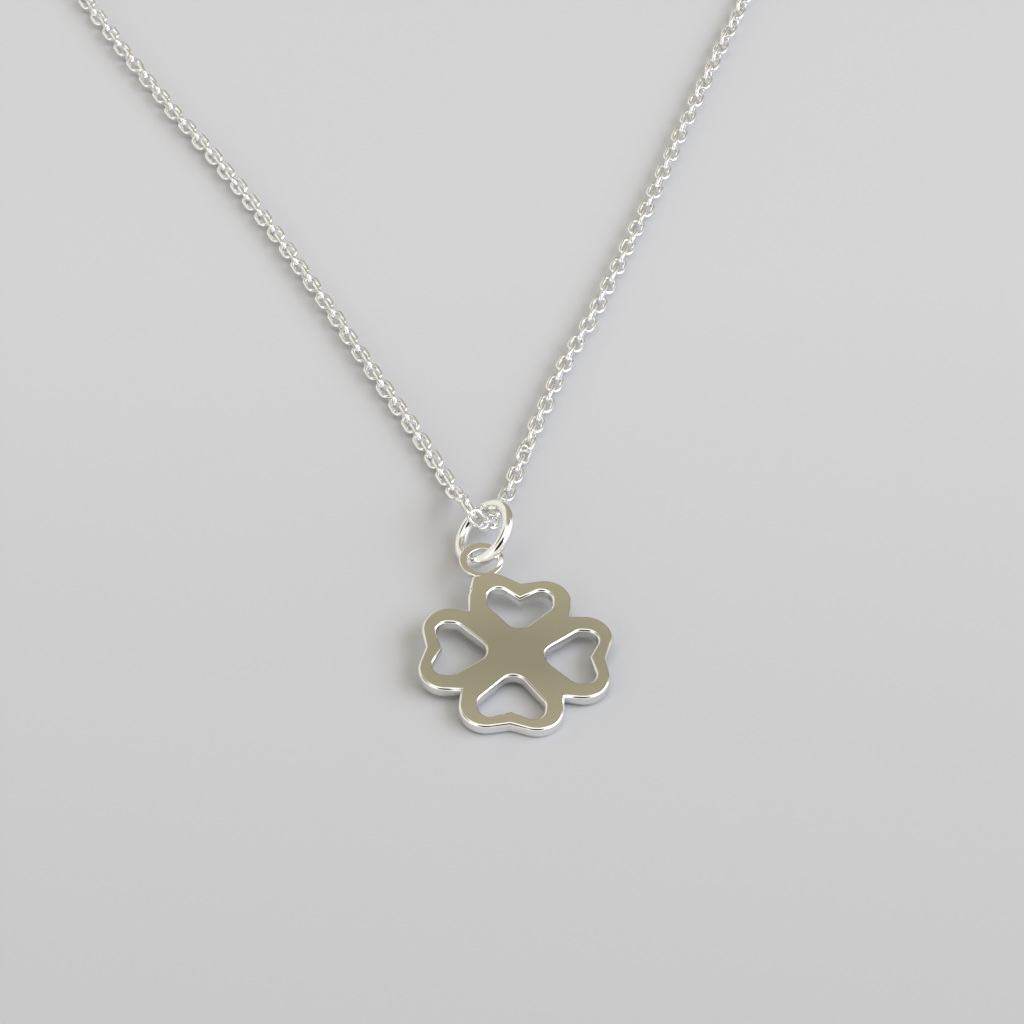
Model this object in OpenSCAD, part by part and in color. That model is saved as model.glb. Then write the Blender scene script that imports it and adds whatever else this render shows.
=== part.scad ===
// A silver necklace as it lies on a table: a flat clover with four heart-shaped holes,
// a small ring soldered to it, a jump ring and a fine chain closed by a plain clasp.
// The floor is z = 0, the pendant lies at -Y and the chain's far end at +Y.

/* [Clover] */
// Thickness of the plate
plate_t = 1.0; // [0.9:0.05:1.1]
// Radius of each rounded lobe, two to a leaf
lobe_r = 2.12; // [2.0:0.02:2.2]
// Lobe centre, across the leaf from its middle line
lobe_x = 1.9; // [1.8:0.05:2.0]
// Lobe centre, out from the clover's centre
lobe_y = 5.2; // [5.1:0.05:5.3]
// Depth of the dip between a leaf's two lobes, as its distance from the centre
dip_y = 6.9; // [6.8:0.05:7.0]
// Corner where two leaves meet, the same distance along both axes
corner_xy = 3.92; // [3.8:0.02:4.0]

/* [Heart holes] */
// Radius of the rounded point, which looks to the centre
tip_r = 1.07; // [0.9:0.01:1.2]
// Centre of the rounded point, out from the clover's centre
tip_y = 3.36; // [3.2:0.01:3.5]
// Centre of the top heart's rounded point, which is cut further out than the others
top_tip_y = 3.56; // [3.4:0.01:3.6]
// Radius of the rounded flank
flank_r = 0.98; // [0.9:0.01:1.05]
// Centre of the flank, across the leaf
flank_x = 1.5; // [1.4:0.01:1.6]
// Centre of the flank, out from the clover's centre
flank_y = 5.0; // [4.9:0.01:5.1]
// Radius of the heart's shoulder
shoulder_r = 0.83; // [0.8:0.01:0.9]
// Centre of the shoulder, across the leaf
shoulder_x = 1.64; // [1.6:0.01:1.7]
// Centre of the shoulder, out from the clover's centre
shoulder_y = 5.34; // [5.3:0.01:5.4]
// Dip of the heart, out from the clover's centre
heart_dip_y = 5.6; // [5.5:0.01:5.7]
// Dip of the top heart, which is cut deeper than the others
top_dip_y = 5.23; // [5.15:0.01:5.4]

/* [Small ring] */
// Outer radius of the small ring
small_r = 1.74; // [1.7:0.01:1.75]
// Radius of its hole, which sits off centre towards the plate
small_hole_r = 1.18; // [1.17:0.01:1.2]
// Height of the small ring, level with the plate's face
small_h = 0.54; // [0.48:0.02:0.56]
// Chamfer on the small ring's four edges
small_edge = 0.1; // [0.08:0.02:0.14]

/* [Jump ring] */
// Radius of the wire's middle line
jump_r = 2.5; // [2.45:0.01:2.55]
// Thickness of the wire
jump_wire = 1.0; // [0.8:0.05:1.0]
// Lean from lying flat, with the side beyond +X up
jump_tilt = 42; // [41:0.5:43]
// Direction that the leaning ring's axis points to, seen from above
jump_turn = 187.5; // [187:0.5:188]

/* [Chain] */
// Outer width of the chain
chain_d = 1.4; // [1.2:0.05:1.4]

/* [Clasp] */
// Length of the clasp's barrel
barrel_l = 7; // [6.5:0.1:7]
// Thickness of the barrel
barrel_d = 2.2; // [2.0:0.1:2.4]
// Radius of each eye's middle line
eye_r = 0.75; // [0.7:0.01:0.75]
// Thickness of each eye's wire
eye_wire = 0.5; // [0.4:0.05:0.5]

/* [Hidden] */
silver = "#c9c9c4";
$fn = 64;
// How far a cutter runs past the face that it cuts
past = 0.5;
// Angle between two points of an arc in the clover's outline
arc_step = 7.5;
// Usual length of a straight piece of the chain
chain_step = 6.5;
// Sides of the chain's cross-section
chain_sides = 8;

// The clover's place: its back face's centre, its turn and its two leans
clover_at = [11.2, -94.3, 0.57];
clover_yaw = -3.5;
clover_rise = 4;
clover_lean = 1.5;

// Centres in the clover's own plan
small_at = [-3.2, 8.97];
small_hole_at = [-3.1, 8.84];

// Outline of the solder that joins the small ring to the top left lobe, level with the face
solder = [
    [-3.93, 5.8],
    [-3.85, 7.2],
    [-2.3, 7.95],
    [0.7, 6.58],
    [0.3, 5.95],
    [-0.45, 5.98],
    [-1.1, 6.45],
    [-2, 6.55],
    [-2.8, 6.15],
    [-3.2, 5.7]
];

// The jump ring's centre, from the clover's place
jump_at = [-2.43, 11.71, 1.775];

// The clasp lies across the loop's far end
clasp_y = 100.7;

// The chain's route along its middle line, from the clasp's left eye to its right one
route = [
    [-5.2, 100.7, 1.1],
    [-12, 99.7, 0.7],
    [-27, 93.3, 0.7],
    [-40, 82, 0.7],
    [-48.5, 67.5, 0.7],
    [-51.5, 52, 0.7],
    [-49.5, 36, 0.7],
    [-43.5, 19.5, 0.7],
    [-36, 3, 0.7],
    [-27.7, -13.6, 0.7],
    [-20.1, -27.1, 0.7],
    [-13.2, -38.3, 0.7],
    [-7.4, -48.8, 0.7],
    [-2.1, -59.2, 0.7],
    [3, -69.3, 0.7],
    [5.4, -74.4, 0.7],
    [6.4, -76.7, 1.0],
    [6.9, -78.2, 1.8],
    [7.15, -79.4, 2.7],
    [7.35, -80.3, 3.25],
    [7.65, -80.95, 3.2],
    [8.15, -81.4, 2.85],
    [8.7, -81.5, 2.3],
    [9.2, -81.15, 1.65],
    [9.3, -80.4, 1.2],
    [9.5, -79.5, 1.1],
    [9.9, -78.5, 1.1],
    [10.3, -77.4, 0.9],
    [10.8, -75.8, 0.7],
    [12, -71.6, 0.7],
    [14.8, -63, 0.7],
    [18.8, -52.6, 0.7],
    [22.8, -41.1, 0.7],
    [26.6, -29.4, 0.7],
    [32, -13.6, 0.7],
    [38, 3, 0.7],
    [44.5, 19.5, 0.7],
    [49.7, 36, 0.7],
    [51.5, 52, 0.7],
    [48.5, 67.5, 0.7],
    [40, 82, 0.7],
    [27, 93.3, 0.7],
    [12, 99.7, 0.7],
    [5.2, 100.7, 1.1]
];

// Points along an arc about a centre, from one angle to another, ends included
function arc(at, r, from, to) =
    let (steps = max(1, ceil(abs(to - from) / arc_step)))
    [for (i = [0 : steps]) let (a = from + (to - from) * i / steps)
        [at[0] + r * cos(a), at[1] + r * sin(a)]];

// Direction from a circle's centre to where its tangent from an outside point touches
function touch_angle(at, r, point) =
    let (gap = at - point)
    atan2(gap[1], gap[0]) + asin(r / norm(gap)) + 90;

// Direction from both centres to a straight line that touches two circles on their right
function flank_angle(a, ra, b, rb) =
    let (gap = b - a)
    atan2(gap[1], gap[0]) - acos((ra - rb) / norm(gap));

function mirrored(points) = [for (i = [len(points) - 1 : -1 : 0]) [-points[i][0], points[i][1]]];

// Right half of one leaf, from its dip round the lobe to the corner with the next leaf
function leaf_half() =
    let (lobe = [lobe_x, lobe_y])
    concat(arc(lobe, lobe_r, touch_angle(lobe, lobe_r, [0, dip_y]), 0), [[corner_xy, corner_xy]]);

function leaf() =
    let (half = leaf_half())
    concat(mirrored([for (i = [0 : len(half) - 2]) half[i]]), [[0, dip_y]], half);

// Right half of one heart, from its rounded point up to its shoulder
function heart_half(tip, dip) =
    let (
        flank = [flank_x, flank_y],
        shoulder = [shoulder_x, shoulder_y],
        low = flank_angle(tip, tip_r, flank, flank_r),
        high = flank_angle(flank, flank_r, shoulder, shoulder_r)
    )
    concat(
        arc(tip, tip_r, -90, low),
        arc(flank, flank_r, low, high),
        arc(shoulder, shoulder_r, high, touch_angle(shoulder, shoulder_r, dip))
    );

function heart(tip, dip) =
    let (half = heart_half(tip, dip))
    concat(half, [dip], mirrored([for (i = [1 : len(half) - 1]) half[i]]));

function turned(points, a) =
    [for (p = points) [p[0] * cos(a) - p[1] * sin(a), p[0] * sin(a) + p[1] * cos(a)]];

// A point on a smooth curve through b and c, with a and d as their outer neighbours
function smooth(a, b, c, d, t) =
    (2 * b + (c - a) * t + (2 * a - 5 * b + 4 * c - d) * t * t + (3 * b - 3 * c + d - a) * t * t * t) / 2;

// The route as a smooth line that never dips below where the chain lies on the floor
function middle_line() =
    let (last = len(route) - 1)
    concat(
        [for (i = [0 : last - 1])
            let (pieces = max(1, round(norm(route[i + 1] - route[i]) / chain_step)))
            for (k = [0 : pieces - 1])
                let (p = smooth(
                    route[max(i - 1, 0)], route[i], route[i + 1], route[min(i + 2, last)],
                    k / pieces
                ))
                [p[0], p[1], max(p[2], chain_d / 2)]],
        [route[last]]
    );

function unit(v) = v / norm(v);

// A tube of flat sides along a line of points, with flat ends and one side facing down
module tube(line, d, sides) {
    last = len(line) - 1;
    rings = [for (i = [0 : last])
        let (
            along = unit(line[min(i + 1, last)] - line[max(i - 1, 0)]),
            across = unit(cross([0, 0, 1], along)),
            up = cross(along, across)
        )
        for (k = [0 : sides - 1])
            let (a = 360 * (k + 0.5) / sides)
            line[i] + d / 2 / cos(180 / sides) * (cos(a) * across + sin(a) * up)];
    walls = [for (i = [0 : last - 1]) for (k = [0 : sides - 1])
        let (n = (k + 1) % sides)
        [i * sides + k, (i + 1) * sides + k, (i + 1) * sides + n, i * sides + n]];
    caps = [
        [for (k = [0 : sides - 1]) k],
        [for (k = [sides - 1 : -1 : 0]) last * sides + k]
    ];
    polyhedron(points = rings, faces = concat(walls, caps));
}

module heart_hole(tip, dip, a) {
    translate([0, 0, -past])
        linear_extrude(plate_t + 2 * past)
            polygon(turned(heart([0, tip], [0, dip]), a));
}

// The plate in its own plan, with its back face at z = 0
module plate() {
    difference() {
        linear_extrude(plate_t)
            polygon([for (a = [0 : -90 : -270]) each turned(leaf(), a)]);
        heart_hole(top_tip_y, top_dip_y, 0);
        for (a = [-90 : -90 : -270])
            heart_hole(tip_y, heart_dip_y, a);
    }
}

module disc(r, h, edge) {
    translate([0, 0, edge])
        cylinder(r = r, h = h - 2 * edge);
    cylinder(r1 = r - edge, r2 = r, h = edge);
    translate([0, 0, h - edge])
        cylinder(r1 = r, r2 = r - edge, h = edge);
}

// The hole's cutter flares out at both faces, so the hole's edges are chamfered
module small_hole() {
    translate([0, 0, -past])
        cylinder(r = small_hole_r, h = small_h + 2 * past);
    translate([0, 0, -past])
        cylinder(r1 = small_hole_r + small_edge + past, r2 = small_hole_r, h = small_edge + past);
    translate([0, 0, small_h - small_edge])
        cylinder(r1 = small_hole_r, r2 = small_hole_r + small_edge + past, h = small_edge + past);
}

module clover() {
    color(silver)
        translate(clover_at)
            rotate([0, 0, clover_yaw])
                rotate([clover_rise, 0, 0])
                    rotate([0, clover_lean, 0])
                        difference() {
                            union() {
                                plate();
                                translate([small_at[0], small_at[1], plate_t - small_h])
                                    disc(small_r, small_h, small_edge);
                                linear_extrude(plate_t)
                                    polygon(solder);
                            }
                            translate([small_hole_at[0], small_hole_at[1], plate_t - small_h])
                                small_hole();
                        }
}

module jump_ring() {
    color(silver)
        translate(clover_at + jump_at)
            rotate([0, jump_tilt, jump_turn])
                rotate_extrude()
                    translate([jump_r, 0])
                        circle(d = jump_wire);
}

module chain() {
    color(silver)
        tube(middle_line(), chain_d, chain_sides);
}

// The clasp is a barrel with rounded ends and an eye at each end for the chain
module clasp() {
    end_r = 0.5;
    barrel_r = barrel_d / 2;
    eye_x = barrel_l / 2 + eye_r - eye_wire / 4;
    color(silver)
        translate([0, clasp_y, barrel_r]) {
            rotate([0, 90, 0])
                rotate_extrude()
                    union() {
                        translate([0, -barrel_l / 2])
                            square([barrel_r - end_r, barrel_l]);
                        translate([0, end_r - barrel_l / 2])
                            square([barrel_r, barrel_l - 2 * end_r]);
                        for (side = [-1, 1])
                            translate([barrel_r - end_r, side * (barrel_l / 2 - end_r)])
                                circle(r = end_r);
                    }
            for (side = [-1, 1])
                translate([side * eye_x, 0, 0])
                    rotate_extrude()
                        translate([eye_r, 0])
                            circle(d = eye_wire);
        }
}

clover();
jump_ring();
chain();
clasp();
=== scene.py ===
"""A silver clover necklace lying on a pale table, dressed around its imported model.

The pieces' sizes are in millimetres, and each piece is brought into the frame's metres when it is placed.
Angles are in degrees.
"""

import logging
import math
import random
from dataclasses import dataclass
from enum import Enum
from typing import Sequence

import bmesh
import bpy
from mathutils import Matrix, Vector


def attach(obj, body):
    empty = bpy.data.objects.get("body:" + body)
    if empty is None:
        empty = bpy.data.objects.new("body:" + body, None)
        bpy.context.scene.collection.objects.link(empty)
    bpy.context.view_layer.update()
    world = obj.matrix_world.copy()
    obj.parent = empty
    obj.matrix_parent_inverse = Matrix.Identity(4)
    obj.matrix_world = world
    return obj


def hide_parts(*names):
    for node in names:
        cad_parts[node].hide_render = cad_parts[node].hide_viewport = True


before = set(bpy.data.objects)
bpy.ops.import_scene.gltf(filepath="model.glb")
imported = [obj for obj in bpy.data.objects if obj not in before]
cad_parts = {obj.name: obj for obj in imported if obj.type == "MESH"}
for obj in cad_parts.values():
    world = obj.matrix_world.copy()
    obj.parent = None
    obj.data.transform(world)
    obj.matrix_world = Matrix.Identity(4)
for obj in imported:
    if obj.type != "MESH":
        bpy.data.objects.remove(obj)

log = logging.getLogger("clover_necklace")

Point = tuple[float, float]
Spot = tuple[float, float, float]
Colour = tuple[float, float, float]
Range = tuple[float, float]

MM = 0.001
TO_METRES = Matrix.Scale(MM, 4)
UP = Vector((0.0, 0.0, 1.0))
UPRIGHT = Matrix.Rotation(math.radians(90), 4, "X")

# How close vertices are merged, in millimetres: after an operator, at a mirror and where outlines meet.
SAME_SPOT = 1e-5
MIRROR_GAP = 1e-4
OUTLINE_GAP = 1e-3

# How deep fine relief goes, in metres, and how strongly large faces lead their neighbours' shading.
RELIEF_DEPTH = 0.05 * MM
FACE_WEIGHT = 50


class Slot(Enum):
    """The record's material slots."""

    POLISHED = "polished_silver"
    CHAIN = "chain_silver"


def spun(
    bm: bmesh.types.BMesh, start: bmesh.types.BMVert, centre: Point, turn: float, steps: int,
) -> bmesh.types.BMVert:
    """Draw an arc of edges from a vertex.

    Args:
        bm: The mesh being drawn.
        start: The vertex that the arc starts from.
        centre: The arc's centre, in the plane of the vertex.
        turn: The angle of the arc, anticlockwise.
        steps: How many edges it gets.

    Returns:
        The vertex at the arc's end.
    """
    at = (centre[0], centre[1], start.co.z)
    out = bmesh.ops.spin(bm, geom=[start], cent=at, axis=UP, angle=math.radians(turn), steps=steps)
    return next(v for v in out["geom_last"] if isinstance(v, bmesh.types.BMVert))


def on_circle(centre: Point, radius: float, angle: float) -> Vector:
    """Point on a circle in the plane z = 0, at an angle."""
    a = math.radians(angle)
    return Vector((centre[0] + radius * math.cos(a), centre[1] + radius * math.sin(a), 0.0))


def touch_angle(centre: Point, radius: float, point: Point) -> float:
    """Angle at which a circle is touched by the tangent from an outside point.

    Args:
        centre: The circle's centre.
        radius: Its radius.
        point: The outside point.

    Returns:
        The angle of the touching point, seen from the centre.
    """
    gap = Vector(centre) - Vector(point)
    return math.degrees(math.atan2(gap.y, gap.x) + math.asin(radius / gap.length)) + 90.0


def flank_angle(a: Point, radius_a: float, b: Point, radius_b: float) -> float:
    """Angle at which a straight line touches two circles on their right.

    Args:
        a: The first circle's centre.
        radius_a: The first circle's radius.
        b: The second circle's centre.
        radius_b: The second circle's radius.

    Returns:
        The angle of both touching points.
    """
    gap = Vector(b) - Vector(a)
    return math.degrees(math.atan2(gap.y, gap.x) - math.acos((radius_a - radius_b) / gap.length))


def mirrored(bm: bmesh.types.BMesh, axis: str) -> None:
    """Mirror everything in a mesh along an axis through the origin, and join it there."""
    geometry = bm.verts[:] + bm.edges[:] + bm.faces[:]
    bmesh.ops.mirror(bm, geom=geometry, matrix=Matrix.Identity(4), merge_dist=MIRROR_GAP, axis=axis)


def closed(bm: bmesh.types.BMesh) -> None:
    """Merge what meets in a closed mesh, and point its faces outwards."""
    bmesh.ops.remove_doubles(bm, verts=bm.verts[:], dist=SAME_SPOT)
    bmesh.ops.recalc_face_normals(bm, faces=bm.faces[:])


def add_turned(bm: bmesh.types.BMesh, other: bmesh.types.BMesh, turn: float) -> None:
    """Add one mesh to another, turned about the axis Z.

    Args:
        bm: The mesh that grows.
        other: The mesh to add, which is freed.
        turn: The turn, anticlockwise.
    """
    matrix = Matrix.Rotation(math.radians(turn), 3, "Z")
    bmesh.ops.rotate(other, verts=other.verts[:], cent=(0, 0, 0), matrix=matrix)
    drawn = bpy.data.meshes.new("drawn")
    other.to_mesh(drawn)
    other.free()
    bm.from_mesh(drawn)
    bpy.data.meshes.remove(drawn)


def rounded_slab(bm: bmesh.types.BMesh, height: float, edge: float, steps: int) -> None:
    """Turn a flat sheet at z = 0 into a slab with rounded edges, which stands on z = 0.

    Args:
        bm: The mesh, which holds the sheet alone.
        height: The slab's full height.
        edge: The radius of its rounded edges.
        steps: How many strips each rounded edge gets.
    """
    low = bm.faces[:]
    top = bmesh.ops.extrude_face_region(bm, geom=low, use_keep_orig=True)["geom"]
    bmesh.ops.delete(bm, geom=low, context="FACES")
    raised = [v for v in top if isinstance(v, bmesh.types.BMVert)]
    bmesh.ops.translate(bm, verts=raised, vec=(0, 0, height / 2 - edge))
    cap = [f for f in top if isinstance(f, bmesh.types.BMFace)]
    for face in cap:
        if face.normal.z < 0:
            face.normal_flip()
    for k in range(steps):
        before, after = (math.radians(90) * n / steps for n in (k, k + 1))
        bmesh.ops.inset_region(
            bm, faces=cap, thickness=edge * (math.cos(before) - math.cos(after)),
            depth=edge * (math.sin(after) - math.sin(before)),
            use_boundary=True, use_even_offset=True,
        )
    mirrored(bm, "Z")
    closed(bm)
    bmesh.ops.translate(bm, verts=bm.verts[:], vec=(0, 0, height / 2))


def spin_full(bm: bmesh.types.BMesh, steps: int) -> None:
    """Spin everything in a mesh, an outline beside the axis Z, through a whole turn into a closed ring.

    Args:
        bm: The mesh.
        steps: How many steps make the turn.
    """
    bmesh.ops.spin(
        bm, geom=bm.verts[:] + bm.edges[:], cent=(0, 0, 0), axis=UP,
        angle=math.tau, steps=steps, use_merge=True,
    )
    closed(bm)


def wire_ring(
    radius: float, wire: float, sides: int, steps: int, first: float = 0.0,
) -> bmesh.types.BMesh:
    """Build a closed ring of round wire about the axis Z.

    Args:
        radius: The radius of the wire's middle line.
        wire: The wire's diameter.
        sides: How many sides the wire has.
        steps: How many steps make the turn.
        first: The angle of the first step's section, from the axis X.

    Returns:
        The ring.
    """
    bm = bmesh.new()
    section = Matrix.Translation((radius, 0.0, 0.0)) @ UPRIGHT
    bmesh.ops.create_circle(bm, segments=sides, radius=wire / 2, matrix=section)
    turn = Matrix.Rotation(math.radians(first), 3, "Z")
    bmesh.ops.rotate(bm, verts=bm.verts[:], cent=(0, 0, 0), matrix=turn)
    spin_full(bm, steps)
    return bm


def mesh_object(name: str, bm: bmesh.types.BMesh) -> bpy.types.Object:
    """Make an object of a mesh and link it to the scene.

    Args:
        name: The object's name.
        bm: The mesh, which is freed.

    Returns:
        The new object.
    """
    mesh = bpy.data.meshes.new(name)
    bm.to_mesh(mesh)
    bm.free()
    thing = bpy.data.objects.new(name, mesh)
    bpy.context.collection.objects.link(thing)
    return thing


def fused(name: str, parts: Sequence[bmesh.types.BMesh]) -> bmesh.types.BMesh:
    """Unite overlapping closed meshes into one.

    Args:
        name: A name for the working objects.
        parts: The meshes, which are freed.

    Returns:
        The united mesh.
    """
    body, *others = [mesh_object(f"{name}_{k}", part) for k, part in enumerate(parts)]
    for other in others:
        union = body.modifiers.new("union", "BOOLEAN")
        union.operation = "UNION"
        union.solver = "EXACT"
        union.object = other
    seen = bpy.context.evaluated_depsgraph_get()
    bm = bmesh.new()
    bm.from_object(body, seen)
    for thing in (body, *others):
        bpy.data.meshes.remove(thing.data)
    return bm


def keep_flats(thing: bpy.types.Object) -> None:
    """Let the large faces of a smoothly shaded piece look flat.

    Args:
        thing: The piece.
    """
    weighted = thing.modifiers.new("weighted_normals", "WEIGHTED_NORMAL")
    weighted.mode = "FACE_AREA"
    weighted.weight = FACE_WEIGHT
    weighted.keep_sharp = True


def dress(thing: bpy.types.Object, material: bpy.types.Material, slot: Slot, *nodes: str) -> None:
    """Shade a finished piece smooth, and give it its material and its place in the frame.

    Args:
        thing: The piece.
        material: Its material.
        slot: The record's slot for its finish, which is not used.
        nodes: The CAD nodes that it stands for.
    """
    for face in thing.data.polygons:
        face.use_smooth = True
    thing.data.materials.clear()
    thing.data.materials.append(material)
    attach(thing, "root")
    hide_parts(*nodes)
    log.info("%s: %d vertices", thing.name, len(thing.data.vertices))


class Surface:
    """A material in the making, with its shader and the place on the piece, in metres."""

    def __init__(self, name: str) -> None:
        """Start a material.

        Args:
            name: The material's name.
        """
        self.material = bpy.data.materials.new(name)
        self.material.use_nodes = True
        self.nodes = self.material.node_tree.nodes
        self.link = self.material.node_tree.links.new
        self.shader = self.nodes["Principled BSDF"]
        self.place = self.nodes.new("ShaderNodeTexCoord").outputs["Object"]

    def noise(self, scale: float, detail: float) -> bpy.types.NodeSocket:
        """Make noise that is fixed to the piece.

        Args:
            scale: How fine it is.
            detail: How many finer layers lie over it.

        Returns:
            Its strength, from 0 to 1.
        """
        noise = self.nodes.new("ShaderNodeTexNoise")
        noise.inputs["Scale"].default_value = scale
        noise.inputs["Detail"].default_value = detail
        self.link(self.place, noise.inputs["Vector"])
        return noise.outputs["Fac"]

    def spread(
        self, value: bpy.types.NodeSocket, source: Range, target: Range = (0.0, 1.0),
    ) -> bpy.types.NodeSocket:
        """Carry a value from one range to another, with its ends held.

        Args:
            value: The value.
            source: Where the first range starts and ends.
            target: Where the second one does.

        Returns:
            The new value.
        """
        spread = self.nodes.new("ShaderNodeMapRange")
        for name, number in zip(("From Min", "From Max", "To Min", "To Max"), (*source, *target)):
            spread.inputs[name].default_value = number
        self.link(value, spread.inputs["Value"])
        return spread.outputs["Result"]

    def paint(self, first: Colour, second: Colour, share: bpy.types.NodeSocket) -> None:
        """Colour the surface between two tones.

        Args:
            first: The tone where the share is 0.
            second: The tone where the share is 1.
            share: The share.
        """
        shade = self.nodes.new("ShaderNodeMix")
        shade.data_type = "RGBA"
        shade.inputs["A"].default_value = (*first, 1.0)
        shade.inputs["B"].default_value = (*second, 1.0)
        self.link(share, shade.inputs["Factor"])
        self.link(shade.outputs["Result"], self.shader.inputs["Base Color"])

    def relief(self, height: bpy.types.NodeSocket, strength: float) -> None:
        """Give the surface fine relief.

        Args:
            height: Its height, from 0 to 1.
            strength: How strongly it shows.
        """
        bump = self.nodes.new("ShaderNodeBump")
        bump.inputs["Strength"].default_value = strength
        bump.inputs["Distance"].default_value = RELIEF_DEPTH
        self.link(height, bump.inputs["Height"])
        self.link(bump.outputs["Normal"], self.shader.inputs["Normal"])


@dataclass(frozen=True)
class SilverFinish:
    """Bright silver with fingermarks and a faint ripple, and, if asked, an oval patch of painted shade.

    The painted shade is darkest at the patch's middle. The patch's middle and its half widths are in the
    frame's metres.
    """

    name: str
    colour: Colour = (0.93, 0.92, 0.895)
    dulled: float = 0.94
    roughness: float = 0.05
    smudge: float = 0.08
    smudge_scale: float = 260.0
    smudge_detail: float = 4.0
    smudge_range: Range = (0.5, 0.8)
    ripple: float = 0.012
    ripple_scale: float = 420.0
    ripple_detail: float = 2.0
    # Painted shade: how much darker the tone gets at the oval patch's middle, on the clover's face; 0 leaves
    # it out.
    painted_shade: float = 0.0
    painted_shade_at: Point = (0.0112, -0.0943)
    painted_shade_half: Point = (0.014, 0.0068)
    painted_shade_smudge: float = 0.4

    def make(self) -> bpy.types.Material:
        """Build the material.

        Returns:
            The material.
        """
        surface = Surface(self.name)
        surface.shader.inputs["Metallic"].default_value = 1.0
        smudges = surface.noise(self.smudge_scale, self.smudge_detail)
        rough = surface.spread(smudges, self.smudge_range, (self.roughness, self.roughness + self.smudge))
        surface.link(rough, surface.shader.inputs["Roughness"])
        # The darker tone carries the smudges and, in the oval patch, the painted shade.
        red, green, blue = (c * (self.dulled - self.painted_shade) for c in self.colour)
        surface.paint(self.colour, (red, green, blue), self.smudges_and_painted_shade(surface, smudges))
        surface.relief(surface.noise(self.ripple_scale, self.ripple_detail), self.ripple)
        return surface.material

    def smudges_and_painted_shade(self, surface: Surface, smudges: bpy.types.NodeSocket) -> bpy.types.NodeSocket:
        """Find the share of the darker tone: the smudges alone, or fainter ones and the oval patch of
        painted shade.

        Args:
            surface: The material in the making.
            smudges: The smudges' strength.

        Returns:
            The share, from 0 to 1.
        """
        if not self.painted_shade:
            return smudges
        # The oval patch of painted shade, darkest at its middle.
        centred = surface.nodes.new("ShaderNodeMapping")
        for k in range(2):
            centred.inputs["Scale"].default_value[k] = 1.0 / self.painted_shade_half[k]
            centred.inputs["Location"].default_value[k] = -self.painted_shade_at[k] / self.painted_shade_half[k]
        centred.inputs["Scale"].default_value[2] = 0.0
        surface.link(surface.place, centred.inputs["Vector"])
        patch = surface.nodes.new("ShaderNodeTexGradient")
        patch.gradient_type = "SPHERICAL"
        surface.link(centred.outputs["Vector"], patch.inputs["Vector"])
        both = surface.nodes.new("ShaderNodeMath")
        both.operation = "MULTIPLY_ADD"
        both.use_clamp = True
        both.inputs[1].default_value = self.painted_shade_smudge
        surface.link(smudges, both.inputs[0])
        surface.link(patch.outputs["Fac"], both.inputs[2])
        return both.outputs["Value"]


@dataclass(frozen=True)
class PaperFinish:
    """Matt pale board with a fine grain, and painted shade that makes it darker towards the front.

    Its painted shade grows between two places along the axis Y, in the frame's metres.
    """

    name: str = "table_board"
    # The tone at the back and the darker tone at the front, between which the painted shade runs.
    back: Colour = (0.606, 0.600, 0.602)
    front: Colour = (0.525, 0.521, 0.521)
    painted_shade_range: Range = (-0.05, -0.135)
    roughness: float = 0.75
    grain: float = 0.35
    grain_scale: float = 1500.0
    grain_detail: float = 3.0

    def make(self) -> bpy.types.Material:
        """Build the material.

        Returns:
            The material.
        """
        surface = Surface(self.name)
        surface.shader.inputs["Roughness"].default_value = self.roughness
        split = surface.nodes.new("ShaderNodeSeparateXYZ")
        surface.link(surface.place, split.inputs["Vector"])
        # Painted shade: the board gets darker towards the front.
        share = surface.spread(split.outputs["Y"], self.painted_shade_range)
        surface.paint(self.back, self.front, share)
        surface.relief(surface.noise(self.grain_scale, self.grain_detail), self.grain)
        return surface.material


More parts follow.
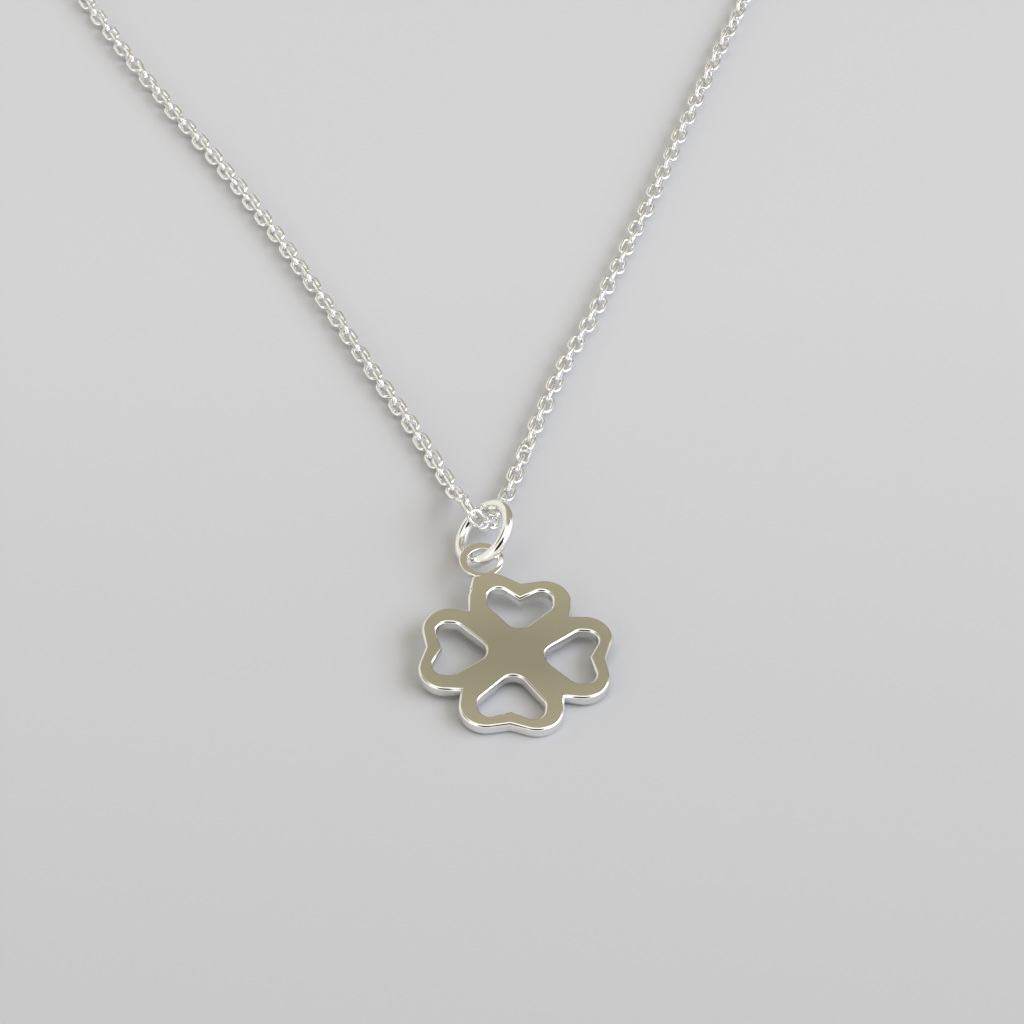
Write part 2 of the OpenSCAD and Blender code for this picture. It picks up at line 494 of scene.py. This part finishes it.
@dataclass
class Clover:
    """The flat clover with its heart holes and the small ring soldered to it.

    Half of the upper leaf is a straight edge from the dip at dip_y, an arc about lobe and a straight side
    to the corner that it shares with the next leaf. Half of a heart hole is three arcs, about its tip, its
    flank and its shoulder, with a straight edge between each two and another to its dip. The top hole has
    a tip and a dip of its own. The small ring's hole is off its centre, so its band is uneven.
    """

    finish: bpy.types.Material
    thick: float = 1.0
    edge: float = 0.27
    edge_steps: int = 5
    arc_step: float = 5.0
    lobe: Point = (1.9, 5.2)
    lobe_r: float = 2.12
    dip_y: float = 6.9
    corner: float = 3.92
    tip: Point = (0.0, 3.36)
    top_tip: Point = (0.0, 3.56)
    tip_r: float = 1.07
    flank: Point = (1.5, 5.0)
    flank_r: float = 0.98
    shoulder: Point = (1.64, 5.34)
    shoulder_r: float = 0.83
    dip: Point = (0.0, 5.6)
    top_dip: Point = (0.0, 5.23)
    ring_at: Point = (-3.2, 8.97)
    ring_r: float = 1.74
    hole_at: Point = (-3.1, 8.84)
    hole_r: float = 1.18
    ring_h: float = 0.54
    ring_edge: float = 0.1
    ring_sides: int = 96
    solder_line: tuple[Point, ...] = (
        (-3.93, 5.8), (-3.85, 7.2), (-2.3, 7.95), (0.7, 6.58), (0.3, 5.95), (-0.45, 5.98),
        (-1.1, 6.45), (-2.0, 6.55), (-2.8, 6.15), (-3.2, 5.7),
    )
    at: Spot = (11.2, -94.3, 0.57)
    yaw: float = -3.5
    rise: float = 4.0
    lean: float = 1.5

    def place(self) -> Matrix:
        """Find the clover's place.

        Returns:
            The matrix from its own plan, in millimetres, to the frame.
        """
        turn = (
            Matrix.Rotation(math.radians(self.yaw), 4, "Z")
            @ Matrix.Rotation(math.radians(self.rise), 4, "X")
            @ Matrix.Rotation(math.radians(self.lean), 4, "Y")
        )
        return TO_METRES @ Matrix.Translation(self.at) @ turn

    def steps(self, turn: float) -> int:
        """How many edges an arc of that angle gets."""
        return max(1, math.ceil(abs(turn) / self.arc_step))

    def leaf(self) -> bmesh.types.BMesh:
        """Draw the outline of the upper leaf, from corner to corner.

        Returns:
            The outline.
        """
        bm = bmesh.new()
        touch = touch_angle(self.lobe, self.lobe_r, (0.0, self.dip_y))
        dip = bm.verts.new((0.0, self.dip_y, 0.0))
        start = bm.verts.new(on_circle(self.lobe, self.lobe_r, touch))
        bm.edges.new((dip, start))
        side = spun(bm, start, self.lobe, -touch, self.steps(touch))
        bm.edges.new((side, bm.verts.new((self.corner, self.corner, 0.0))))
        mirrored(bm, "X")
        return bm

    def heart(self, tip: Point, dip: Point) -> bmesh.types.BMesh:
        """Draw the outline of the hole in the upper leaf.

        Args:
            tip: The centre of its rounded point.
            dip: The point between its shoulders.

        Returns:
            The outline.
        """
        bm = bmesh.new()
        low = flank_angle(tip, self.tip_r, self.flank, self.flank_r)
        high = flank_angle(self.flank, self.flank_r, self.shoulder, self.shoulder_r)
        last = touch_angle(self.shoulder, self.shoulder_r, dip)
        arcs = (
            (tip, self.tip_r, -90.0, low),
            (self.flank, self.flank_r, low, high),
            (self.shoulder, self.shoulder_r, high, last),
        )
        end = None
        for centre, radius, first, then in arcs:
            start = bm.verts.new(on_circle(centre, radius, first))
            if end:
                bm.edges.new((end, start))
            end = spun(bm, start, centre, then - first, self.steps(then - first))
        bm.edges.new((end, bm.verts.new((*dip, 0.0))))
        mirrored(bm, "X")
        return bm

    def plate(self) -> bmesh.types.BMesh:
        """Build the pierced plate, with its back at z = 0.

        Returns:
            The plate.
        """
        bm = bmesh.new()
        for turn in (0, 90, 180, 270):
            add_turned(bm, self.leaf(), turn)
            cut = (self.tip, self.dip) if turn else (self.top_tip, self.top_dip)
            add_turned(bm, self.heart(*cut), turn)
        bmesh.ops.remove_doubles(bm, verts=bm.verts[:], dist=OUTLINE_GAP)
        bmesh.ops.triangle_fill(bm, edges=bm.edges[:], use_beauty=True, normal=UP)
        rounded_slab(bm, self.thick, self.edge, self.edge_steps)
        return bm

    def small_ring(self) -> bmesh.types.BMesh:
        """Build the small ring, level with the face, from a rounded section that starts as a unit square.

        Returns:
            The ring.
        """
        bm = bmesh.new()
        wide = self.ring_r - self.hole_r
        corners = bmesh.ops.create_grid(bm, x_segments=1, y_segments=1, size=0.5)["verts"]
        bmesh.ops.scale(bm, vec=(wide, self.ring_h, 1.0), verts=corners)
        bmesh.ops.bevel(
            bm, geom=corners, offset=self.ring_edge, segments=self.edge_steps, profile=0.5,
            affect="VERTICES", material=-1,
        )
        bmesh.ops.delete(bm, geom=bm.faces[:], context="FACES_ONLY")
        stand = Matrix.Translation((self.ring_r - wide / 2, 0.0, 0.0)) @ UPRIGHT
        bmesh.ops.transform(bm, matrix=stand, verts=bm.verts[:])
        spin_full(bm, self.ring_sides)
        # The hole's rim takes the whole shift and the outer rim none of it.
        shift = Vector(self.hole_at) - Vector(self.ring_at)
        for vert in bm.verts:
            share = (self.ring_r - vert.co.xy.length) / wide
            vert.co.xy += Vector(self.ring_at) + shift * share
        bmesh.ops.translate(bm, verts=bm.verts[:], vec=(0, 0, self.thick - self.ring_h / 2))
        return bm

    def solder(self) -> bmesh.types.BMesh:
        """Build the solder between the small ring and the top left lobe, level with the face.

        Returns:
            The solder.
        """
        bm = bmesh.new()
        bm.faces.new([bm.verts.new((*point, 0.0)) for point in reversed(self.solder_line)])
        rounded_slab(bm, self.thick, self.edge, self.edge_steps)
        return bm

    def build(self) -> bpy.types.Object:
        """Build and dress the piece.

        Returns:
            The piece.
        """
        bm = fused("clover_part", [self.plate(), self.small_ring(), self.solder()])
        bmesh.ops.transform(bm, matrix=self.place(), verts=bm.verts[:])
        piece = mesh_object("silver_clover", bm)
        keep_flats(piece)
        dress(piece, self.finish, Slot.POLISHED, "clover")
        return piece


@dataclass
class JumpRing:
    """The round-wire ring between the small ring and the chain."""

    finish: bpy.types.Material
    radius: float = 2.5
    wire: float = 1.0
    tilt: float = 42.0
    turn: float = 187.5
    at: Spot = (8.77, -82.59, 2.345)
    wire_sides: int = 32
    ring_steps: int = 128

    def build(self) -> bpy.types.Object:
        """Build and dress the piece.

        Returns:
            The piece.
        """
        bm = wire_ring(self.radius, self.wire, self.wire_sides, self.ring_steps)
        place = (
            TO_METRES @ Matrix.Translation(self.at)
            @ Matrix.Rotation(math.radians(self.turn), 4, "Z")
            @ Matrix.Rotation(math.radians(self.tilt), 4, "Y")
        )
        bmesh.ops.transform(bm, matrix=place, verts=bm.verts[:])
        piece = mesh_object("plain_jump_ring", bm)
        keep_flats(piece)
        dress(piece, self.finish, Slot.POLISHED, "jump_ring")
        return piece


@dataclass(frozen=True)
class Lay:
    """How the links lie at a distance from the ring, which is positive along the right strand."""

    at: float
    pitch: float
    roll: float


@dataclass
class Chain:
    """The fine cable chain, link by link along its route from the clasp's left eye to its right one.

    Distances are along the route from its point nearest the viewer, which lies in the jump ring. The links
    are walked both ways from the joint at start, by the pitch of their lays, until they are within a pitch
    and spare of the eyes. Those beyond plain_from are then drawn out, so that the last ones reach the eyes.
    """

    finish: bpy.types.Material
    link_l: float = 2.06
    link_w: float = 1.38
    wire: float = 0.36
    sides: int = 16
    wire_sides: int = 6
    curve_steps: int = 24
    roll_play: float = 9.0
    sway: float = 0.05
    start: float = 0.28
    spare: float = 0.55
    plain_from: float = 125.0
    seed: int = 7
    lays: tuple[Lay, ...] = (
        Lay(-214.0, 1.28, 90.0), Lay(-150.0, 1.28, -20.0), Lay(-90.0, 1.28, 30.0), Lay(-65.0, 1.28, 0.0),
        Lay(-52.0, 1.15, 25.0), Lay(-30.0, 1.21, 0.0), Lay(-12.0, 1.12, 20.0), Lay(-6.2, 1.1, 10.0),
        Lay(-1.2, 1.28, -50.0), Lay(1.5, 1.28, -75.0), Lay(5.6, 1.2, 10.0), Lay(9.0, 1.2, 15.0),
        Lay(13.0, 1.2, 100.0), Lay(20.0, 1.28, 100.0), Lay(40.0, 1.28, 110.0), Lay(60.0, 1.28, 80.0),
        Lay(120.0, 1.28, 40.0), Lay(214.0, 1.28, 0.0),
    )
    route: tuple[Spot, ...] = (
        (-4.58, 100.7, 1.1), (-12, 99.7, 0.7), (-27, 93.3, 0.7), (-40, 82, 0.7), (-48.5, 67.5, 0.7),
        (-51.5, 52, 0.7), (-49.5, 36, 0.7), (-43.5, 19.5, 0.7), (-36, 3, 0.7), (-27.7, -13.6, 0.7),
        (-20.1, -27.1, 0.7), (-13.2, -38.3, 0.7), (-7.4, -48.8, 0.7), (-2.1, -59.2, 0.7),
        (3, -69.3, 0.7), (5.4, -74.4, 0.7), (6.4, -76.7, 1.0), (6.9, -78.2, 1.8), (7.15, -79.4, 2.7),
        (7.35, -80.3, 3.25), (7.65, -80.95, 3.2), (8.15, -81.4, 2.85), (8.7, -81.5, 2.3),
        (9.2, -81.15, 1.65), (9.3, -80.4, 1.2), (9.5, -79.5, 1.1), (9.9, -78.5, 1.1),
        (10.3, -77.4, 0.9), (10.8, -75.8, 0.7), (12, -71.6, 0.7), (14.8, -63, 0.7),
        (18.8, -52.6, 0.7), (22.8, -41.1, 0.7), (26.6, -29.4, 0.7), (32, -13.6, 0.7), (38, 3, 0.7),
        (44.5, 19.5, 0.7), (49.7, 36, 0.7), (51.5, 52, 0.7), (48.5, 67.5, 0.7), (40, 82, 0.7),
        (27, 93.3, 0.7), (12, 99.7, 0.7), (4.58, 100.7, 1.1),
    )

    def curve(self) -> list[Vector]:
        """Draw the smooth curve through the route, nowhere so low that a link would sink into the table.

        Returns:
            Points close together along it.
        """
        knots = [Vector(p) for p in self.route]
        last = len(knots) - 1
        points = []
        for i in range(last):
            a, b, c, d = (knots[min(max(n, 0), last)] for n in (i - 1, i, i + 1, i + 2))
            for k in range(self.curve_steps):
                t = k / self.curve_steps
                points.append(0.5 * (
                    2 * b + (c - a) * t + (2 * a - 5 * b + 4 * c - d) * t**2
                    + (3 * b - 3 * c + d - a) * t**3
                ))
        points.append(knots[last])
        floor = self.link_w / 2
        return [Vector((p.x, p.y, max(p.z, floor))) for p in points]

    def lay(self, at: float) -> Lay:
        """Find how the links lie at a distance, between the two nearest lays.

        Args:
            at: The distance from the ring.

        Returns:
            The lay at that distance.
        """
        pairs = list(zip(self.lays, self.lays[1:]))
        a, b = next(((a, b) for a, b in pairs if at <= b.at), pairs[-1])
        share = min(max((at - a.at) / (b.at - a.at), 0.0), 1.0)
        return Lay(at, a.pitch + (b.pitch - a.pitch) * share, a.roll + (b.roll - a.roll) * share)

    def walk(self, first: float, last: float) -> list[float]:
        """Find where the links hang in each other, one pitch after the other both ways from the ring.

        Args:
            first: The distance of the route's left end from the ring.
            last: The distance of its right end.

        Returns:
            The distances of the joints from the ring, the first and last ones at the route's ends.
        """
        walked = [self.start]
        while walked[0] - self.lay(walked[0]).pitch >= first + self.spare:
            walked.insert(0, walked[0] - self.lay(walked[0]).pitch)
        while walked[-1] + self.lay(walked[-1]).pitch <= last - self.spare:
            walked.append(walked[-1] + self.lay(walked[-1]).pitch)
        ends = {-1.0: (first, walked[0]), 1.0: (last, walked[-1])}
        for k, at in enumerate(walked):
            if abs(at) > self.plain_from:
                side = math.copysign(1.0, at)
                wanted, reached = ends[side]
                plain = side * self.plain_from
                walked[k] += (wanted - reached) * (at - plain) / (reached - plain)
        return walked

    def joints(self) -> list[tuple[float, Vector]]:
        """Find where one link hangs in the next.

        Returns:
            The distance from the ring and the place of each joint, from the left end to the right one.
        """
        points = self.curve()
        gone = [0.0]
        for a, b in zip(points, points[1:]):
            gone.append(gone[-1] + (b - a).length)
        nearest = min(range(len(points)), key=lambda n: points[n].y)
        marks = [d - gone[nearest] for d in gone]
        found = []
        n = 0
        for at in self.walk(marks[0], marks[-1]):
            while n + 2 < len(marks) and marks[n + 1] < at:
                n += 1
            share = (at - marks[n]) / (marks[n + 1] - marks[n])
            found.append((at, points[n].lerp(points[n + 1], share)))
        return found

    def link(self) -> bpy.types.Mesh:
        """Build one oval link, its length along X and its width along Y.

        Returns:
            The link.
        """
        # Half a step's turn keeps every section off x = 0, where the ring's two halves are drawn apart.
        bend = (self.link_w - self.wire) / 2
        bm = wire_ring(bend, self.wire, self.wire_sides, self.sides, 180.0 / self.sides)
        stretch = (self.link_l - self.link_w) / 2
        for side in (-1, 1):
            half = [v for v in bm.verts if v.co.x * side > 0]
            bmesh.ops.translate(bm, verts=half, vec=(side * stretch, 0, 0))
        mesh = bpy.data.meshes.new("link")
        bm.to_mesh(mesh)
        bm.free()
        return mesh

    def build(self) -> bpy.types.Object:
        """Build and dress the piece.

        Returns:
            The piece.
        """
        luck = random.Random(self.seed)
        link = self.link()
        count = len(link.vertices)
        bm = bmesh.new()
        joints = self.joints()
        middle = [at for at, _ in joints].index(self.start)
        log.info("chain: %d links", len(joints) - 1)
        for k, ((at, a), (_, b)) in enumerate(zip(joints, joints[1:])):
            along = (b - a).normalized()
            across = UP.cross(along).normalized()
            turn = Matrix((along, across, along.cross(across))).transposed().to_4x4()
            roll = self.lay(at).roll + 90.0 * ((k - middle) % 2)
            roll += luck.uniform(-self.roll_play, self.roll_play)
            spot = (a + b) / 2 + across * luck.uniform(-self.sway, self.sway)
            place = Matrix.Translation(spot) @ turn @ Matrix.Rotation(math.radians(roll), 4, "X")
            bm.from_mesh(link)
            bm.verts.ensure_lookup_table()
            bmesh.ops.transform(bm, matrix=place, verts=bm.verts[-count:])
        bpy.data.meshes.remove(link)
        bmesh.ops.transform(bm, matrix=TO_METRES, verts=bm.verts[:])
        piece = mesh_object("cable_chain", bm)
        dress(piece, self.finish, Slot.CHAIN, "chain")
        return piece


@dataclass
class Clasp:
    """The plain barrel clasp with an eye sunk a little into each end."""

    finish: bpy.types.Material
    barrel_l: float = 7.0
    barrel_d: float = 2.2
    barrel_sides: int = 48
    end_r: float = 0.5
    end_steps: int = 6
    rim_angle: float = 45.0
    eye_r: float = 0.75
    eye_wire: float = 0.5
    eye_sides: int = 16
    eye_steps: int = 48
    y: float = 100.7

    def barrel(self) -> bmesh.types.BMesh:
        """Build the barrel along X, with rounded ends.

        Returns:
            The barrel.
        """
        bm = bmesh.new()
        along = Matrix.Rotation(math.radians(90), 4, "Y")
        bmesh.ops.create_cone(
            bm, cap_ends=True, segments=self.barrel_sides, radius1=self.barrel_d / 2,
            radius2=self.barrel_d / 2, depth=self.barrel_l, matrix=along,
        )
        rims = [e for e in bm.edges if e.calc_face_angle(0.0) > math.radians(self.rim_angle)]
        bmesh.ops.bevel(
            bm, geom=rims, offset=self.end_r, segments=self.end_steps, profile=0.5,
            affect="EDGES", material=-1,
        )
        return bm

    def eye(self, side: int) -> bmesh.types.BMesh:
        """Build the eye at one end.

        Args:
            side: The end, -1 for the left one or 1 for the right one.

        Returns:
            The eye.
        """
        bm = wire_ring(self.eye_r, self.eye_wire, self.eye_sides, self.eye_steps)
        out = side * (self.barrel_l / 2 + self.eye_r - self.eye_wire / 4)
        bmesh.ops.translate(bm, verts=bm.verts[:], vec=(out, 0, 0))
        return bm

    def build(self) -> bpy.types.Object:
        """Build and dress the piece.

        Returns:
            The piece.
        """
        bm = fused("clasp_part", [self.barrel(), self.eye(-1), self.eye(1)])
        place = TO_METRES @ Matrix.Translation((0.0, self.y, self.barrel_d / 2))
        bmesh.ops.transform(bm, matrix=place, verts=bm.verts[:])
        piece = mesh_object("barrel_clasp", bm)
        keep_flats(piece)
        dress(piece, self.finish, Slot.POLISHED, "clasp")
        return piece


@dataclass(frozen=True)
class Card:
    """A round patch of the studio, seen in the silver, which fades out from its inner to its outer angle."""

    azimuth: float
    elevation: float
    inner: float
    outer: float
    colour: Colour

    def direction(self) -> Vector:
        """Unit vector to the card's middle, with azimuth 0 beyond the table and 90 to its right."""
        a, e = math.radians(self.azimuth), math.radians(self.elevation)
        return Vector((math.sin(a) * math.cos(e), math.cos(a) * math.cos(e), math.sin(e)))


@dataclass
class Studio:
    """The table, the light tent round it and the camera.

    The camera's place is in millimetres, as the pieces' are. The table and the window are in metres.
    """

    board: bpy.types.Material
    tent: Colour = (0.95, 0.92, 0.84)
    cards: tuple[Card, ...] = (
        Card(0.0, 90.0, 16.0, 36.0, (1.45, 1.42, 1.36)),
        Card(22.0, 22.0, 24.0, 38.0, (0.37, 0.34, 0.25)),
        Card(4.0, 56.0, 16.0, 33.0, (0.43, 0.398, 0.276)),
        Card(278.0, 52.0, 7.0, 17.0, (0.16, 0.15, 0.10)),
        Card(58.0, 62.0, 4.0, 12.0, (0.20, 0.185, 0.13)),
        Card(224.0, 28.0, 10.0, 22.0, (1.4, 1.4, 1.4)),
        Card(108.0, 32.0, 20.0, 30.0, (1.3, 1.35, 1.45)),
        Card(180.0, 46.0, 17.0, 26.0, (0.02, 0.02, 0.02)),
    )
    table_size: float = 6.0
    eye: Spot = (10.94, -296.88, 222.84)
    pitch: float = 45.5
    lens: float = 138.6
    sensor: float = 36.0
    seen_from: float = 0.01
    window_at: Spot = (1.67, -0.45, 1.35)
    window_w: float = 2.6
    window_h: float = 1.2
    window_power: float = 33.0
    window_colour: Colour = (0.76, 0.83, 1.0)

    def table(self) -> None:
        """Lay the board that the necklace lies on."""
        bm = bmesh.new()
        bmesh.ops.create_grid(bm, x_segments=1, y_segments=1, size=self.table_size / 2)
        floor = mesh_object("table", bm)
        floor.data.materials.append(self.board)

    def surroundings(self) -> None:
        """Light the table from the tent, with the cards that show in the silver."""
        world = bpy.data.worlds.new("tent")
        bpy.context.scene.world = world
        world.use_nodes = True
        nodes, links = world.node_tree.nodes, world.node_tree.links
        light = nodes["Background"]
        way = nodes.new("ShaderNodeTexCoord")
        shade = nodes.new("ShaderNodeRGB")
        shade.outputs["Color"].default_value = (*self.tent, 1.0)
        shown = shade.outputs["Color"]
        for card in self.cards:
            near = nodes.new("ShaderNodeVectorMath")
            near.operation = "DOT_PRODUCT"
            links.new(way.outputs["Generated"], near.inputs[0])
            near.inputs[1].default_value = card.direction()
            edge = nodes.new("ShaderNodeMapRange")
            edge.interpolation_type = "SMOOTHSTEP"
            edge.inputs["From Min"].default_value = math.cos(math.radians(card.outer))
            edge.inputs["From Max"].default_value = math.cos(math.radians(card.inner))
            links.new(near.outputs["Value"], edge.inputs["Value"])
            mix = nodes.new("ShaderNodeMix")
            mix.data_type = "RGBA"
            links.new(edge.outputs["Result"], mix.inputs["Factor"])
            links.new(shown, mix.inputs["A"])
            mix.inputs["B"].default_value = (*card.colour, 1.0)
            shown = mix.outputs["Result"]
        links.new(shown, light.inputs["Color"])

    def window(self) -> None:
        """Hang the soft window light to the right."""
        light = bpy.data.lights.new("window", "AREA")
        light.shape = "RECTANGLE"
        light.size = self.window_w
        light.size_y = self.window_h
        light.energy = self.window_power
        light.color = self.window_colour
        thing = bpy.data.objects.new("window", light)
        thing.location = self.window_at
        thing.rotation_euler = (-Vector(self.window_at)).to_track_quat("-Z", "Y").to_euler()
        bpy.context.collection.objects.link(thing)

    def camera(self) -> None:
        """Set the camera at the photograph's angle."""
        data = bpy.data.cameras.new("camera")
        data.lens = self.lens
        data.sensor_width = self.sensor
        data.clip_start = self.seen_from
        thing = bpy.data.objects.new("camera", data)
        thing.location = Vector(self.eye) * MM
        thing.rotation_euler = (math.radians(90.0 - self.pitch), 0.0, 0.0)
        bpy.context.collection.objects.link(thing)
        bpy.context.scene.camera = thing

    def build(self) -> None:
        """Set up everything round the necklace."""
        bpy.context.scene.view_settings.view_transform = "Standard"
        self.camera()
        self.table()
        self.surroundings()
        self.window()


def main() -> None:
    """Build the necklace and its surroundings."""
    logging.basicConfig(level=logging.INFO)
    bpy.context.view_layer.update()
    # The polished silver gets painted shade in the middle of the clover's face.
    polished = SilverFinish("polished_silver", painted_shade=0.2).make()
    # Painted light: the chain's silver is a lighter copy of the polished silver, so that its fine links look
    # brighter.
    wire = SilverFinish("chain_silver", colour=(0.975, 0.97, 0.955), roughness=0.2).make()
    Studio(PaperFinish().make()).build()
    for maker in (Clover(polished), JumpRing(polished), Chain(wire), Clasp(polished)):
        maker.build()


if __name__ == "__main__":
    main()
